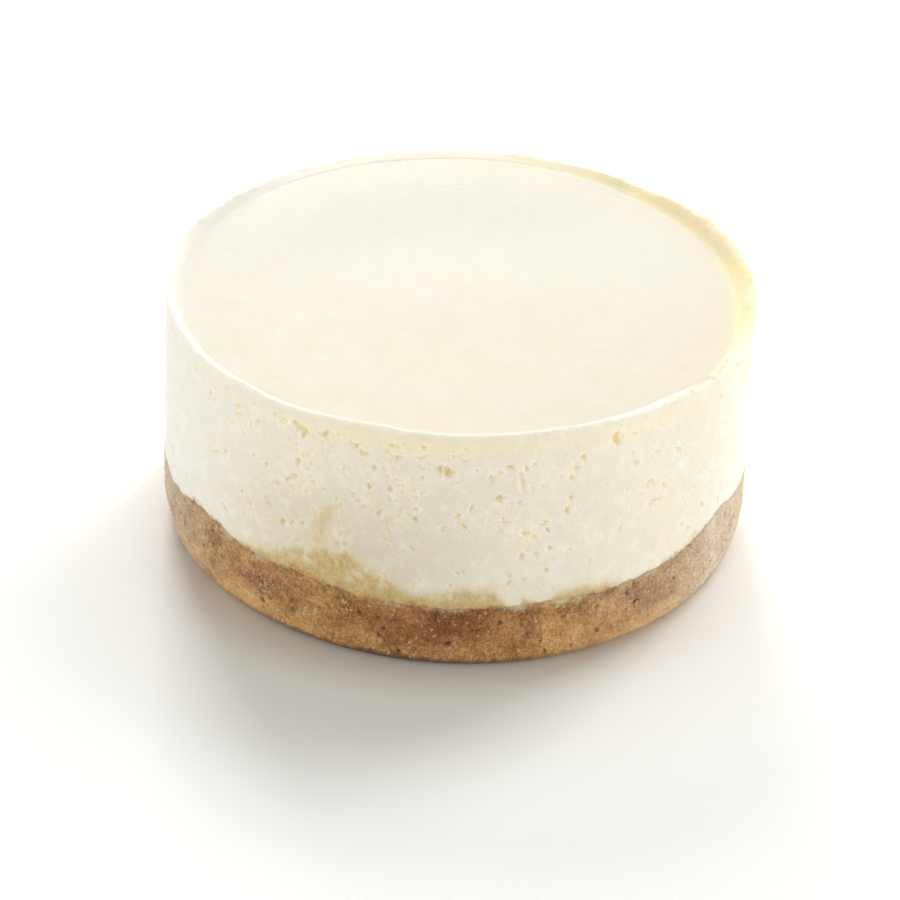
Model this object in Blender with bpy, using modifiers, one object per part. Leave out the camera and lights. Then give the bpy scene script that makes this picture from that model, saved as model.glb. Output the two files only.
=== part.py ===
"""A single-serving baked cheesecake: a pressed biscuit-crumb base with a cream cheese filling on it.

Bearings are degrees round the cake from its front, which faces -Y, and grow towards +X.
"""

import math
import random

import bmesh
import bpy
from mathutils import Matrix, Vector, noise

# Whole cake
CAKE_RADIUS = 0.0400
MEAN_HEIGHT = 0.0355
FACETS_ROUND = 144
INNER_RINGS = (0.013, 0.025)
EDGE_RING = 0.0370
HALF_GAP = 0.00015
SMOOTH_ANGLE = 40

# Biscuit base
BASE_RADIUS = 0.0401
FOOT_RADIUS = 0.0386
FOOT_HEIGHT = 0.0064
FOOT_BEVEL = 0.0010
SEAM_HEIGHT = 0.0100
SEAM_LEVEL_RADIUS = 0.0300
BASE_SIDE_ROWS = 9
CRUMB_SIZE = 0.0032
CRUMB_DEPTH = 0.00024
FINE_CRUMB_SIZE = 0.0014
FINE_CRUMB_DEPTH = 0.00017
SEAM_RAGGEDNESS = 0.0005
SEAM_RAG_LENGTH = 0.0040
# The seam's raggedness is read from another level of the noise than the lip's
SEAM_RAG_LEVEL = 0.1

# Rim and top of the filling
RIM_WIDTH = 0.0021
RIM_DROP = 0.0010
# The rim's inner slope: share of its width from the inside, share of its drop
RIM_SLOPE = ((0.0, 0.10), (0.45, 0.55))
TOP_TILT = 0.0010
TOP_TILT_BEARING = -10
LIP_ROUNDING = 0.0006
LIP_ARC_STEPS = 3
LIP_CRUMBLE = 0.0002
TOP_FADE_RADIUS = 0.0320
TOP_UNDULATION = 0.00015
TOP_UNDULATION_LENGTH = 0.0200

# Side of the filling
FILLING_SIDE_ROWS = 6
SIDE_UNDULATION = 0.00018
SIDE_UNDULATION_LENGTH = 0.0130

# Pores in the side of the filling
PORE_SEED = 7
PORE_COUNT = 100
PORE_MIN_SIZE = 0.0012
PORE_MAX_SIZE = 0.0026
PORE_EDGE_MARGIN = 0.0018
PORE_SPACING = 0.0006
PORE_DEPTH_SHARE = 0.8
PORE_MIN_ASPECT = 0.6
PORE_STANDOFF = 0.10
PORE_MOST_TILT = 0.6
PORE_TRIES = 4000

# Slow rises (+) and dips (-) round the cake: bearing, half width in degrees, height
LIP_WAVES = (
    (-58, 15, -0.0005),
    (-36, 12, -0.0005),
    (-15, 11, 0.0004),
    (38, 9, -0.0003),
    (53, 9, -0.0010),
    (58, 4, -0.0005),
    (112, 36, 0.0005),
    (141, 5, -0.0004),
    (-112, 22, 0.0003),
)
SEAM_WAVES = (
    (-118, 30, 0.0010),
    (-56, 13, 0.0015),
    (-30, 9, 0.0003),
    (2, 44, -0.0018),
    (35, 16, -0.0009),
    (64, 16, 0.0018),
    (80, 24, 0.0011),
    (130, 26, 0.0006),
    (172, 34, 0.0012),
)
# The rim is thickest along the right and the back right: bearing, half width, share added
RIM_SWELLS = (
    (108, 62, 0.75),
    (170, 30, 0.25),
    (-75, 60, -0.30),
)
# Where the lip crumbles most, and by what share more
CRUMBLE_SWELLS = (
    (58, 26, 3.0),
)
# The large pores at the front: bearing, height, width, height of the pore
LARGE_PORES = (
    (-30.5, 0.0313, 0.0027, 0.0015),
    (-33.8, 0.0318, 0.0018, 0.0013),
    (-18.0, 0.0308, 0.0030, 0.0014),
    (-2.6, 0.0293, 0.0028, 0.0018),
    (0.4, 0.0219, 0.0024, 0.0012),
    (3.4, 0.0234, 0.0017, 0.0021),
    (14.0, 0.0196, 0.0026, 0.0015),
    (17.4, 0.0206, 0.0019, 0.0012),
    (31.5, 0.0317, 0.0017, 0.0018),
    (41.5, 0.0203, 0.0024, 0.0012),
    (-52.5, 0.0222, 0.0026, 0.0014),
    (-24.0, 0.0212, 0.0021, 0.0017),
)


def clear_scene():
    for obj in list(bpy.data.objects):
        bpy.data.objects.remove(obj, do_unlink=True)


def new_collection(name):
    collection = bpy.data.collections.new(name)
    bpy.context.scene.collection.children.link(collection)
    return collection


def plain_material(name, color, roughness):
    material = bpy.data.materials.new(name)
    material.use_nodes = True
    shader = material.node_tree.nodes["Principled BSDF"]
    shader.inputs["Base Color"].default_value = (*color, 1.0)
    shader.inputs["Roughness"].default_value = roughness
    shader.inputs["Metallic"].default_value = 0.0
    material.diffuse_color = (*color, 1.0)
    return material


def bearing_of(x, y):
    return math.degrees(math.atan2(x, -y))


def degrees_apart(bearing, other):
    return abs((bearing - other + 180) % 360 - 180)


def swell(bearing, waves):
    """The sum of smooth waves, each highest at its own bearing and zero past its half width."""
    total = 0.0
    for centre, half_width, size in waves:
        apart = degrees_apart(bearing, centre)
        if apart < half_width:
            total += size * (0.5 + 0.5 * math.cos(math.pi * apart / half_width))
    return total


def smooth_step(value, start, end):
    share = min(max((value - start) / (end - start), 0.0), 1.0)
    return share * share * (3 - 2 * share)


def on_circle(bearing, radius, height):
    angle = math.radians(bearing)
    return Vector((radius * math.sin(angle), -radius * math.cos(angle), height))


def top_lean(x, y):
    """The whole top leans a little: low at the front, high at the back."""
    towards = math.radians(TOP_TILT_BEARING)
    return -TOP_TILT * (x * math.sin(towards) - y * math.cos(towards)) / CAKE_RADIUS


def lip_rise(bearing):
    """How far the lip stands above or below the leaning top."""
    crumble = LIP_CRUMBLE * (1 + swell(bearing, CRUMBLE_SWELLS))
    place = on_circle(bearing, CAKE_RADIUS, 0.0) / SEAM_RAG_LENGTH
    return swell(bearing, LIP_WAVES) + crumble * noise.noise(place)


def seam_height(x, y):
    """Height of the seam between base and filling: level inside, wavy and ragged towards the side."""
    radius = math.hypot(x, y)
    bearing = bearing_of(x, y)
    edge = smooth_step(radius, SEAM_LEVEL_RADIUS, CAKE_RADIUS)
    place = on_circle(bearing, CAKE_RADIUS, SEAM_RAG_LEVEL) / SEAM_RAG_LENGTH
    ragged = SEAM_RAGGEDNESS * noise.noise(place)
    return SEAM_HEIGHT + edge * (swell(bearing, SEAM_WAVES) + ragged)


def base_side_radius(height):
    """The base flares from its foot to its full radius."""
    share = min(height / FOOT_HEIGHT, 1.0)
    return FOOT_RADIUS + (BASE_RADIUS - FOOT_RADIUS) * math.sin(share * math.pi / 2)


def base_profile():
    top = SEAM_HEIGHT - HALF_GAP
    points = [(0.0, top)]
    points += [(radius, top) for radius in (*INNER_RINGS, SEAM_LEVEL_RADIUS, EDGE_RING)]
    for row in range(BASE_SIDE_ROWS):
        height = top + (FOOT_BEVEL - top) * row / (BASE_SIDE_ROWS - 1)
        points.append((base_side_radius(height), height))
    points += [(FOOT_RADIUS - FOOT_BEVEL, 0.0), (INNER_RINGS[-1], 0.0), (0.0, 0.0)]
    return points


def filling_profile():
    plateau = MEAN_HEIGHT - RIM_DROP
    bottom = SEAM_HEIGHT + HALF_GAP
    inner = CAKE_RADIUS - RIM_WIDTH
    crest = CAKE_RADIUS - LIP_ROUNDING
    points = [(0.0, plateau)]
    points += [(radius, plateau) for radius in (*INNER_RINGS, TOP_FADE_RADIUS)]
    for across, rise in RIM_SLOPE:
        points.append((inner + across * (crest - inner), plateau + rise * RIM_DROP))
    for step in range(LIP_ARC_STEPS + 1):
        angle = math.pi / 2 * (1 - step / LIP_ARC_STEPS)
        points.append((
            crest + LIP_ROUNDING * math.cos(angle),
            MEAN_HEIGHT - LIP_ROUNDING + LIP_ROUNDING * math.sin(angle),
        ))
    shoulder = MEAN_HEIGHT - LIP_ROUNDING
    for row in range(1, FILLING_SIDE_ROWS + 1):
        points.append((CAKE_RADIUS, shoulder + (bottom - shoulder) * row / FILLING_SIDE_ROWS))
    points += [(radius, bottom) for radius in (EDGE_RING, SEAM_LEVEL_RADIUS, *reversed(INNER_RINGS))]
    points.append((0.0, bottom))
    return points


def turned(name, profile, material, collection):
    """A solid turned from a profile in the XZ plane, as a mesh with its Screw applied."""
    outline = bpy.data.meshes.new(name + "_outline")
    edges = [(index, index + 1) for index in range(len(profile) - 1)]
    outline.from_pydata([(radius, 0.0, height) for radius, height in profile], edges, [])
    draft = bpy.data.objects.new(name + "_draft", outline)
    collection.objects.link(draft)
    screw = draft.modifiers.new("Turn", "SCREW")
    screw.axis = "Z"
    screw.steps = FACETS_ROUND
    screw.render_steps = FACETS_ROUND
    screw.use_merge_vertices = True
    screw.merge_threshold = 0.00002
    graph = bpy.context.evaluated_depsgraph_get()
    mesh = bpy.data.meshes.new_from_object(draft.evaluated_get(graph))
    bpy.data.objects.remove(draft, do_unlink=True)
    mesh.name = name
    mesh.materials.clear()
    mesh.materials.append(material)
    solid = bpy.data.objects.new(name, mesh)
    collection.objects.link(solid)
    return solid


def shape_base_point(point):
    """Sets the base's top to the seam and roughens its side with crumbs."""
    radius = math.hypot(point.x, point.y)
    seam = seam_height(point.x, point.y) - HALF_GAP
    height = point.z * seam / (SEAM_HEIGHT - HALF_GAP)
    side = smooth_step(radius, EDGE_RING, FOOT_RADIUS)
    above_foot = smooth_step(point.z, 0.0, 2 * FOOT_BEVEL)
    crumbs = CRUMB_DEPTH * noise.noise(point / CRUMB_SIZE)
    crumbs += FINE_CRUMB_DEPTH * noise.noise(point / FINE_CRUMB_SIZE)
    relief = side * above_foot * crumbs
    grow = (radius + relief) / radius if radius > 0 else 1.0
    return Vector((point.x * grow, point.y * grow, height))


def shape_filling_point(point):
    """Sets the filling's underside to the seam, waves its rim and side, and widens its rim at the right."""
    radius = math.hypot(point.x, point.y)
    bearing = bearing_of(point.x, point.y)
    up = (point.z - SEAM_HEIGHT - HALF_GAP) / (MEAN_HEIGHT - SEAM_HEIGHT - HALF_GAP)
    at_rim = smooth_step(radius, TOP_FADE_RADIUS, CAKE_RADIUS - RIM_WIDTH / 2)
    seam_shift = seam_height(point.x, point.y) - SEAM_HEIGHT
    waves = Vector((point.x, point.y, 0.0)) / TOP_UNDULATION_LENGTH
    top_shift = at_rim * lip_rise(bearing) + (1 - at_rim) * TOP_UNDULATION * noise.noise(waves)
    top_shift += top_lean(point.x, point.y)
    height = point.z + (1 - up) * seam_shift + up * top_shift
    radius_now = radius
    if point.z > MEAN_HEIGHT - RIM_DROP - LIP_ROUNDING:
        widened = smooth_step(radius, INNER_RINGS[-1], CAKE_RADIUS - RIM_WIDTH)
        radius_now -= (CAKE_RADIUS - radius) * swell(bearing, RIM_SWELLS) * widened
    at_side = smooth_step(radius, CAKE_RADIUS - RIM_WIDTH, CAKE_RADIUS)
    radius_now += at_side * SIDE_UNDULATION * noise.noise(point / SIDE_UNDULATION_LENGTH)
    grow = radius_now / radius if radius > 0 else 1.0
    return Vector((point.x * grow, point.y * grow, height))


def reshape(solid, shape_point):
    for vertex in solid.data.vertices:
        vertex.co = shape_point(vertex.co.copy())
    solid.data.update()


def pore_list():
    """The large pores, then smaller ones scattered over the whole side: bearing, height, width, height."""
    pores = list(LARGE_PORES)
    draw = random.Random(PORE_SEED)
    lowest = SEAM_HEIGHT + PORE_EDGE_MARGIN
    highest = MEAN_HEIGHT - TOP_TILT - LIP_ROUNDING - PORE_EDGE_MARGIN
    for _ in range(PORE_TRIES):
        if len(pores) == len(LARGE_PORES) + PORE_COUNT:
            break
        bearing = draw.uniform(-180, 180)
        height = draw.uniform(lowest + swell(bearing, SEAM_WAVES), highest)
        width = PORE_MIN_SIZE + (PORE_MAX_SIZE - PORE_MIN_SIZE) * draw.random() ** 2
        tall = width * draw.uniform(PORE_MIN_ASPECT, 1.0)
        if all(clear_of(bearing, height, width, pore) for pore in pores):
            pores.append((bearing, height, width, tall))
    return pores


def clear_of(bearing, height, width, pore):
    other_bearing, other_height, other_width, _ = pore
    along = math.radians(degrees_apart(bearing, other_bearing)) * CAKE_RADIUS
    apart = math.hypot(along, height - other_height)
    return apart > (width + other_width) / 2 + PORE_SPACING


def pore_cutter(collection):
    """One mesh of squashed spheres that lie half in the filling's side."""
    draw = random.Random(PORE_SEED + 1)
    cutter_mesh = bmesh.new()
    for bearing, height, width, tall in pore_list():
        depth = PORE_DEPTH_SHARE * tall
        place = on_circle(bearing, CAKE_RADIUS + PORE_STANDOFF * depth, height)
        turn = Matrix.Rotation(math.radians(bearing), 4, "Z")
        tilt = Matrix.Rotation(draw.uniform(-PORE_MOST_TILT, PORE_MOST_TILT), 4, "Y")
        spin = Matrix.Rotation(draw.uniform(0, math.tau), 4, "Z")
        squash = Matrix.Diagonal((width / 2, depth / 2, tall / 2, 1.0))
        bmesh.ops.create_icosphere(
            cutter_mesh,
            subdivisions=1,
            radius=1.0,
            matrix=Matrix.Translation(place) @ turn @ tilt @ squash @ spin,
        )
    mesh = bpy.data.meshes.new("pore_cutter")
    cutter_mesh.to_mesh(mesh)
    cutter_mesh.free()
    cutter = bpy.data.objects.new("pore_cutter", mesh)
    cutter.hide_render = True
    cutter.display_type = "WIRE"
    collection.objects.link(cutter)
    return cutter


def make_biscuit_base(collection):
    material = plain_material("baked_biscuit", (0.36, 0.20, 0.085), 0.85)
    base = turned("biscuit_base", base_profile(), material, collection)
    reshape(base, shape_base_point)
    base.data.shade_smooth()
    base.data.set_sharp_from_angle(angle=math.radians(SMOOTH_ANGLE))
    return base


def make_cheese_filling(collection, cutters):
    material = plain_material("baked_cream_cheese", (0.88, 0.80, 0.62), 0.5)
    filling = turned("cheese_filling", filling_profile(), material, collection)
    reshape(filling, shape_filling_point)
    filling.data.shade_smooth()
    filling.data.set_sharp_from_angle(angle=math.radians(SMOOTH_ANGLE))
    carve = filling.modifiers.new("Pores", "BOOLEAN")
    carve.operation = "DIFFERENCE"
    carve.solver = "EXACT"
    carve.object = pore_cutter(cutters)
    return filling


def main():
    clear_scene()
    cake = new_collection("cheesecake")
    cutters = new_collection("cheesecake_cutters")
    cutters.hide_render = True
    make_biscuit_base(cake)
    make_cheese_filling(cake, cutters)


main()
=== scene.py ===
"""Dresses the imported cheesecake: a porous cream cheese filling with a baked top on a crumb base.

Bearings are degrees round the cake from its front, which faces -Y, and grow towards +X.
"""

import itertools
import math

import bmesh
import bpy
import numpy as np
from mathutils import Matrix, Vector


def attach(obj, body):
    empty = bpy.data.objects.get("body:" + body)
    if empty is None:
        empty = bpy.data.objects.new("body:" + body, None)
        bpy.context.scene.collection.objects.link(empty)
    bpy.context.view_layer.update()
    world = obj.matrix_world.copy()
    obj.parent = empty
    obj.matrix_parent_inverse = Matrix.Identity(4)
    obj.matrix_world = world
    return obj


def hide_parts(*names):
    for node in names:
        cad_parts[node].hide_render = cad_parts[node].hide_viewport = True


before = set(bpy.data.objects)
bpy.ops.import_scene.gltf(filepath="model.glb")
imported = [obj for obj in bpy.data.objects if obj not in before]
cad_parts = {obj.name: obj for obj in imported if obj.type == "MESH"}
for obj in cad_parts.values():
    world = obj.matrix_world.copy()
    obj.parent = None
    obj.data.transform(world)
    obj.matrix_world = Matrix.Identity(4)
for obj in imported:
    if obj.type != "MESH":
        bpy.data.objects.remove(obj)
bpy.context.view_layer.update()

MM = 0.001
SEED = 11

# Sizes of the cake in metres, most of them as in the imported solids
CAKE_RADIUS = 0.0400
BASE_RADIUS = 0.0401
FOOT_RADIUS = 0.0386
FOOT_HEIGHT = 0.0064
FOOT_ROUND_HEIGHT = 0.0013
FOOT_ROUND_DEPTH = 0.0011
MEAN_HEIGHT = 0.0355
SEAM_HEIGHT = 0.0100
RIM_WIDTH = 0.0021
RIM_DROP = 0.0010
TOP_TILT = 0.0010
TOP_TILT_BEARING = -10
LIP_ROUNDING = 0.0006
LIP_SOFTNESS = 0.0003
CAD_FACETS = 144
LIP_SOFTENING_DEGREES = 2.2

# Meshes
FILLING_SEGMENTS = 960
BASE_SEGMENTS = 1440
# How much closer together the points of a ring lie at the front
FRONT_CROWDING = 0.30
SIDE_ROWS = 74
BASE_ROWS = 54
RIM_RINGS = 9
LIP_ARC_RINGS = 5
FOOT_ARC_RINGS = 6
# Rings of the filling's top: how many points, and the radii
TOP_RINGS = (
    (1, (0.0,)),
    (120, (0.002, 0.0045, 0.007)),
    (240, np.linspace(0.009, 0.018, 7)),
    (480, np.linspace(0.0195, 0.0318, 11)),
)
# The last rings of the top, along the rim's inner foot: how many points, and gaps to the foot in mm
LAST_TOP_RING_POINTS = 480
GAPS_BEFORE_RIM = (2.4, 1.4, 0.8, 0.4, 0.15)
# Rings that nobody sees: how many points, and the radius
FILLING_UNDERSIDE_RINGS = ((480, 0.0370), (240, 0.0290), (120, 0.0150), (1, 0.0))
BASE_TOP_RINGS = ((1, 0.0), (180, 0.0150), (360, 0.0290), (720, 0.0350))
BASE_UNDERSIDE_RINGS = ((720, 0.0360), (360, 0.0290), (180, 0.0150), (1, 0.0))

# Rises (+), dips (-) and shares round the cake: bearing, half width in degrees, size
RIM_SWELLS = (
    (108, 56, 0.50), (170, 30, 0.10), (64, 26, -0.35), (-75, 60, -0.30), (0, 80, -0.40), (-150, 56, 0.2),
)
SUNK_SHARES = ((-152, 76, -0.95), (166, 34, -0.30), (0, 90, -0.40))
# Partly the skin's own warm tone and partly painted warm shade where the rim shades the top
WARM_TONE_AND_RIM_SHADE_SWELLS = ((88, 62, 1.0), (-10, 70, 0.35), (150, 50, 0.5))
GOLD_SWELLS = ((110, 54, 0.9), (148, 40, 0.7), (84, 26, 0.45), (64, 26, 0.25), (-172, 40, 0.2))
CRUMBLE_SWELLS = ((54, 32, 1.0), (20, 14, 0.2), (-40, 30, 0.15), (-120, 14, 0.2), (150, 30, 0.10))
# Painted glow: the yellowish band under the lip, where light shines through it
LIP_GLOW_SWELLS = ((-6, 40, 0.9), (40, 40, 0.5), (-100, 60, 0.35), (150, 70, 0.5))
SOAK_BEHIND = ((112, 24, 2.4), (-150, 26, 3.0), (172, 18, 1.8), (-92, 14, 1.0))
PORE_CROWDING = ((-12, 62, 1.0), (150, 60, 0.6), (-140, 50, 0.6))
PORE_CLUSTERS = 460
REDDER_SWELLS = ((-2, 30, 0.90), (37, 9, 0.7), (130, 50, 0.8), (-130, 40, 0.6))
GOLDEN_SWELLS = ((-42, 38, 1.3), (42, 38, 1.3), (165, 40, 0.6), (-110, 34, 0.6))
# Painted light: a lighter gold where the rim's inner wall lies in shade
PAINTED_LIGHT_GOLD_SWELLS = ((160, 52, 1.0), (-150, 40, 0.5))
FOOT_SWELLS = ((4, 62, 0.0016),)
# Painted shade: a dark line along the underside of the foot
PAINTED_FOOT_SHADE_SWELLS = ((-14, 66, 1.0), (150, 70, 0.8), (-120, 60, 0.8))
# Painted grazing light: the crust is paler towards its side edges
PAINTED_GRAZING_LIGHT_SWELLS = ((82, 47, 1.70), (36, 20, 0.18), (-42, 20, 0.06), (-88, 47, 1.05))
# Painted shade: a greyer patch on the side at the front left
PAINTED_SIDE_SHADE_SWELLS = ((-24, 36, 1.0),)
# Painted light: the side is whiter at its left and right
PAINTED_SIDE_LIGHT_SWELLS = ((-86, 62, 1.0), (90, 46, 0.9))
GOLD_REACH_SWELLS = ((88, 30, 0.30), (150, 26, -0.10))
FAR_SKIN_SWELLS = ((-134, 52, 1.6),)
# Painted highlight: the white edge of the lip where it catches the light
LIP_HIGHLIGHT_SWELLS = ((0, 70, 0.6), (46, 32, 0.6), (150, 30, 0.9), (-70, 60, 0.4))

# The front as seen, bearing and height in mm: the tops of the brown base and of the soaked filling
SEEN_EDGE = (
    (-75, 9.6), (-65, 10.1), (-62, 10.9), (-60.5, 11.8), (-51, 11.5), (-49, 10.5), (-40, 9.8), (-30, 10.4),
    (-25, 9.6), (-15, 9.0), (-10, 8.7), (-7, 8.8), (-3, 8.2), (0, 8.2), (7, 8.6), (13, 8.1), (17, 8.9),
    (21, 8.2), (30, 9.0), (43, 8.9), (45, 9.9), (51, 10.0), (53, 11.1), (60, 11.7), (65, 12.1), (80, 11.5),
)
SEEN_SOAK = (
    (-49, 10.4), (-43, 11.4), (-40, 12.2), (-36, 12.4), (-34, 13.8), (-31, 14.5), (-28, 14.7), (-26, 15.4),
    (-23, 15.6), (-21.5, 15.0), (-20.3, 15.9), (-18.6, 15.9), (-17.8, 14.6), (-15, 13.7), (-11, 12.9),
    (-9, 12.0), (-7, 11.5), (-5.5, 11.1), (-4, 11.8), (0, 12.1), (5, 12.2), (8, 11.9), (9.5, 10.9),
    (11, 9.8), (13, 8.9), (14, 10.2), (16, 10.2), (18, 9.6), (20, 10.8), (24, 11.2), (30, 10.8), (33, 10.0),
    (36, 9.6), (43, 9.1), (48, 9.9), (52, 10.9), (60, 11.7), (66, 12.3), (80, 11.8),
)

# Pores seen at the front: bearing, height, width, height of the pore in mm, slant in degrees, amber share
SEEN_PORES = (
    (-33.6, 31.6, 1.9, 1.1, 10, 0.9), (-31.2, 31.9, 1.3, 0.9, -20, 1.0), (-29.5, 31.2, 2.3, 1.2, 8, 1.0),
    (-45.8, 31.1, 1.5, 0.8, 15, 0.8), (-40.3, 29.8, 1.0, 0.7, 0, 0.5), (-18.9, 31.3, 1.8, 1.0, -15, 0.8),
    (-16.8, 30.4, 1.6, 0.9, -25, 0.7), (-12.6, 31.3, 0.9, 0.7, 0, 0.6), (2.2, 32.5, 1.0, 0.5, 20, 0.7),
    (2.0, 30.8, 1.3, 0.6, 5, 0.8), (-6.6, 30.9, 0.7, 0.5, 0, 0.4), (-2.9, 29.4, 1.7, 1.2, -25, 0.5),
    (-1.2, 29.1, 1.6, 1.9, 10, 0.6), (-20.6, 28.0, 1.5, 0.5, -30, 0.3), (-16.6, 27.6, 0.9, 0.6, 0, 0.2),
    (-12.3, 27.6, 1.0, 0.6, 20, 0.2), (-5.8, 27.8, 0.8, 0.6, 0, 0.3), (0.7, 27.6, 0.9, 0.5, 20, 0.3),
    (-37.8, 24.3, 1.3, 0.9, 0, 0.4), (-34.2, 24.3, 0.9, 0.6, 10, 0.2), (-32.2, 23.8, 0.8, 0.7, 0, 0.3),
    (-27.2, 24.1, 1.0, 0.8, 0, 0.7), (-24.9, 23.8, 0.8, 0.7, 0, 0.2), (-17.8, 23.2, 1.4, 0.4, -5, 0.3),
    (-9.3, 25.6, 0.6, 0.8, 10, 0.3), (-8.6, 24.6, 0.7, 0.5, 40, 0.2), (-5.7, 25.6, 0.8, 0.6, 0, 0.2),
    (-7.3, 23.0, 1.6, 0.5, 35, 0.3), (3.7, 23.7, 2.2, 0.6, 42, 0.5), (0.5, 22.2, 1.5, 0.6, 35, 0.5),
    (2.2, 21.0, 1.9, 0.8, -58, 0.6), (-1.4, 20.2, 1.5, 0.5, 25, 0.3), (5.6, 21.1, 0.8, 0.6, 0, 0.2),
    (9.4, 21.7, 1.6, 0.7, -10, 0.6), (8.4, 25.1, 1.2, 1.2, 0, 0.3), (12.7, 27.0, 0.9, 1.0, 0, 0.3),
    (10.3, 29.5, 1.0, 0.8, 0, 0.3), (13.5, 29.3, 0.9, 0.8, 0, 0.3), (12.3, 24.5, 0.9, 0.9, 0, 0.3),
    (14.2, 19.5, 2.2, 1.1, 28, 0.9), (17.6, 20.9, 1.9, 0.6, 12, 0.7), (23.9, 29.9, 1.4, 0.9, -10, 0.7),
    (22.4, 27.2, 0.9, 0.9, 0, 0.4), (31.6, 31.8, 1.4, 1.5, 0, 1.0), (36.3, 27.0, 1.0, 0.7, 20, 0.3),
    (41.3, 27.7, 1.1, 0.5, -10, 0.3), (34.6, 23.4, 0.9, 0.6, 0, 0.2), (39.3, 23.1, 1.5, 0.7, 0, 0.6),
    (42.0, 20.2, 2.4, 0.7, -5, 0.5), (35.7, 20.7, 0.9, 0.5, 10, 0.2), (-52.8, 21.9, 1.9, 0.8, 12, 0.7),
    (-49.3, 23.0, 1.1, 0.9, 0, 0.6), (-46.0, 20.3, 1.2, 0.6, 30, 0.3), (-33.8, 16.6, 1.3, 0.7, 30, 0.2),
    (-31.8, 17.1, 1.2, 0.6, 20, 0.2), (-43.8, 15.5, 0.9, 0.6, 0, 0.2), (-11.8, 17.2, 0.6, 0.6, 0, 0.2),
    (10.5, 13.8, 0.8, 0.7, 0, 0.4), (18.4, 13.7, 0.8, 0.9, 0, 0.5), (26.9, 14.0, 0.7, 0.6, 0, 0.3),
    (-74.5, 14.4, 3.4, 0.5, 12, 0.3), (-69.8, 14.0, 2.2, 0.5, 25, 0.3),
)
# The soaked tongue that curls up at the front left: bearing, and height and radius in mm
SOAKED_TONGUE = (
    (-25.6, 15.8, 1.9), (-25.6, 18.0, 1.8), (-24.8, 19.6, 1.4), (-23.4, 21.0, 1.0), (-21.4, 22.0, 0.7),
)
TONGUE_STEPS = 24

# Dark pits seen in the base: bearing, height and width in mm
SEEN_PITS = (
    (-45.5, 3.1, 0.7), (-24.3, 11.6, 0.7), (-10.5, 9.2, 0.8), (-9.0, 1.6, 0.8), (0.2, 3.3, 0.9),
    (9.8, 6.3, 0.8), (29.3, 3.0, 0.7), (35.8, 7.4, 0.8), (38.5, 5.5, 0.7), (30.0, 7.7, 0.5),
    (23.0, 9.4, 0.5), (-41.0, 9.8, 0.6), (-31.0, 4.0, 0.5), (-17.0, 6.4, 0.6), (-13.0, 3.6, 0.6),
    (4.5, 5.3, 0.5), (15.0, 4.4, 0.5),
)
SCATTERED_PITS = 120
FOOT_GRAINS = 520
GRAINS_IN_A_FLAKE = 9
# Pale flakes seen in the base: bearing and height in mm
SEEN_FLAKES = (
    (-38.5, 6.2), (-37.2, 5.4), (-34.4, 3.0), (-33.6, 2.0),
    (-28.8, 4.8), (48.4, 5.2), (38.3, 5.0), (-19.4, 7.0),
)

# Camera and light
IMAGE_SIZE = 900
SENSOR_WIDTH = 36.0
FOCAL_PIXELS = 4475.0
CAMERA_ELEVATION = 28.92
CAMERA_ROLL = 2.25
CAMERA_DISTANCE = 0.6154
CAKE_CENTRE_PIXEL = (457.1, 396.7)
CAKE_CENTRE_HEIGHT = 0.0181
FLOOR_SIZE = 6.0
SURROUND_COLOUR = (0.97, 1.0, 0.91, 1.0)
SURROUND_STRENGTH = 0.235
# Softboxes: azimuth from +X towards +Y, elevation, distance, width and height in metres, power in watts
SOFTBOXES = {
    "back_right": (53, 32, 3.0, 1.00, 2.40, 54),
    "back_left": (101, 24, 3.0, 0.90, 1.60, 59),
    "back_high": (80, 55, 3.0, 1.60, 1.20, 20),
    "overhead": (80, 81, 3.0, 1.20, 0.70, 13),
    "left_card": (186, 8, 2.5, 2.00, 0.60, 26),
    "right_card": (-10, 8, 2.5, 2.00, 0.60, 20),
    "front_card": (-72, 5.5, 3.0, 3.00, 0.45, 24),
}


def wrapped(degrees):
    return (degrees + 180) % 360 - 180


def smooth_step(value, start, end):
    share = np.clip((value - start) / (end - start), 0, 1)
    return share * share * (3 - 2 * share)


def fade_out(value, start, end):
    return 1 - smooth_step(value, start, end)


def swell(bearings, waves):
    """The sum of smooth waves, each highest at its own bearing and zero past its half width."""
    total = np.zeros_like(np.asarray(bearings, float))
    for centre, half_width, size in waves:
        apart = np.abs(wrapped(bearings - centre))
        total += np.where(apart < half_width, size * (0.5 + 0.5 * np.cos(np.pi * apart / half_width)), 0)
    return total


def hashed(cells, seed):
    """A repeatable number from 0 to 1 for each whole-numbered cell."""
    x, y, z = cells[:, 0], cells[:, 1], cells[:, 2]
    value = (x * 73856093) ^ (y * 19349663) ^ (z * 83492791) ^ (seed * 2654435761)
    value &= 0xFFFFFFFF
    value = ((value ^ (value >> 15)) * 2246822519) & 0xFFFFFFFF
    value = ((value ^ (value >> 13)) * 3266489917) & 0xFFFFFFFF
    return (value ^ (value >> 16)) / 0xFFFFFFFF


def smooth_noise(points, size, seed):
    """Noise from -1 to 1 whose swells are about this size."""
    place = points / size
    cell = np.floor(place).astype(np.int64)
    part = place - cell
    part = part**3 * (part * (part * 6 - 15) + 10)
    total = np.zeros(len(points))
    for corner in itertools.product((0, 1), repeat=3):
        weight = np.prod(np.where(np.array(corner, bool), part, 1 - part), axis=1)
        total += weight * hashed(cell + corner, seed)
    return 2 * total - 1


def layered_noise(points, size, seed, layers=3):
    total = np.zeros(len(points))
    for layer in range(layers):
        total += smooth_noise(points, size / 2**layer, seed + layer) / 2**layer
    return total / (2 - 2 ** (1 - layers))


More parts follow.
